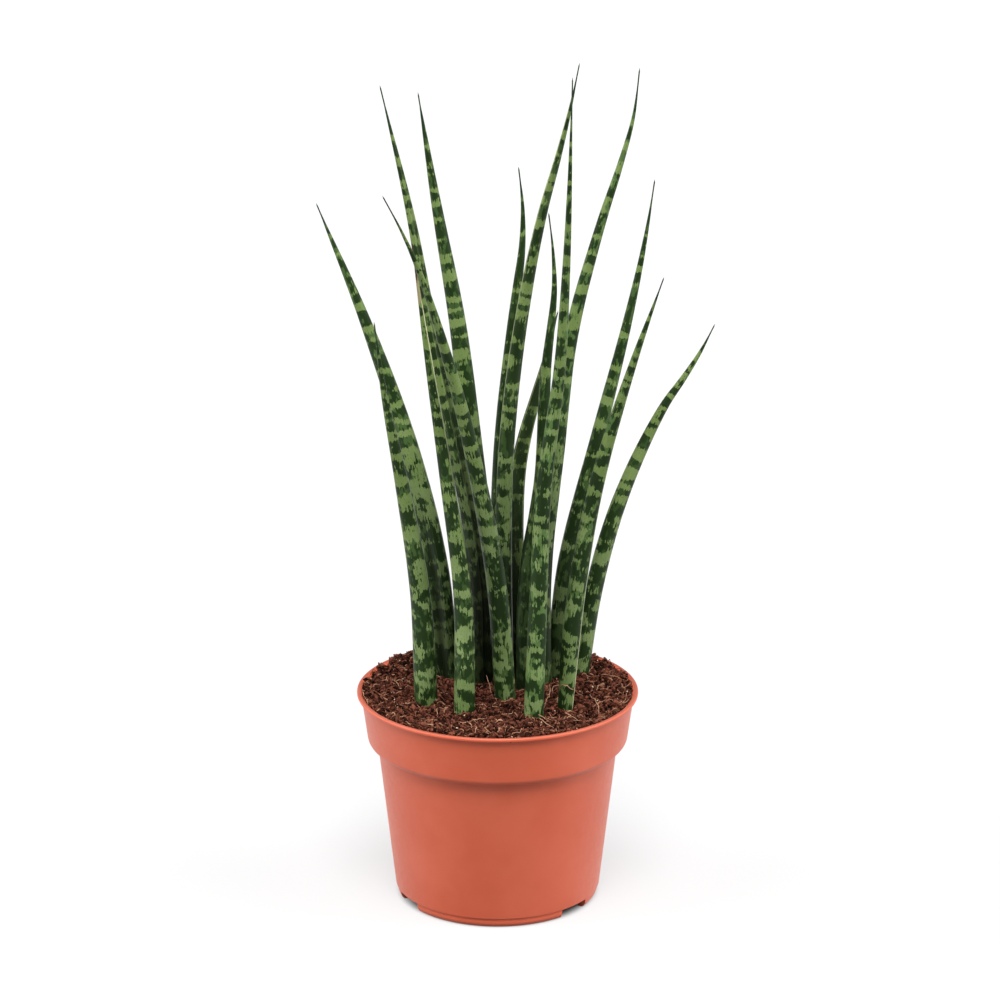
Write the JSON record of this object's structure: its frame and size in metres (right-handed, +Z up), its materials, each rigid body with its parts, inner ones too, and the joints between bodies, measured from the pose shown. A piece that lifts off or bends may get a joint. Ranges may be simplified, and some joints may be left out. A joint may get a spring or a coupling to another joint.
{
  "type": "potted snake plant",
  "caption": "Spear-leaved snake plant: stiff, nearly round, mottled leaves standing in soil in a terracotta-coloured plastic nursery pot with a banded rim.",
  "frame": {"origin": "on the pot's axis, at the height of the surface that the pot stands on, in the middle of the round foot under the pot's floor", "axes": "+Z up along the pot's axis, -Y towards the front as pictured, +X to the picture's right"},
  "size_m": [0.1972, 0.14, 0.429],
  "materials": {
    "pot_plastic": "terracotta-coloured polypropylene, injection moulded, satin",
    "soil": "crumbled peat and coir, moist, with pale fibres",
    "leaf": "waxy leaf skin, satin, dark green with ragged pale green bands and a pale thin margin"
  },
  "bodies": {
    "root": {"pot": "pot_plastic", "soil": "soil", "leaf_left_front": "leaf", "leaf_left_back": "leaf", "leaf_front_left": "leaf", "leaf_mid_left": "leaf", "leaf_front_middle": "leaf", "leaf_tall_left": "leaf", "leaf_thin_back": "leaf", "leaf_tall_middle": "leaf", "leaf_front_right": "leaf", "leaf_tall_right": "leaf", "leaf_short_middle": "leaf", "leaf_dark_middle": "leaf", "leaf_right_back": "leaf", "leaf_right_front": "leaf", "leaf_outer_right": "leaf"}
  },
  "joints": []
}
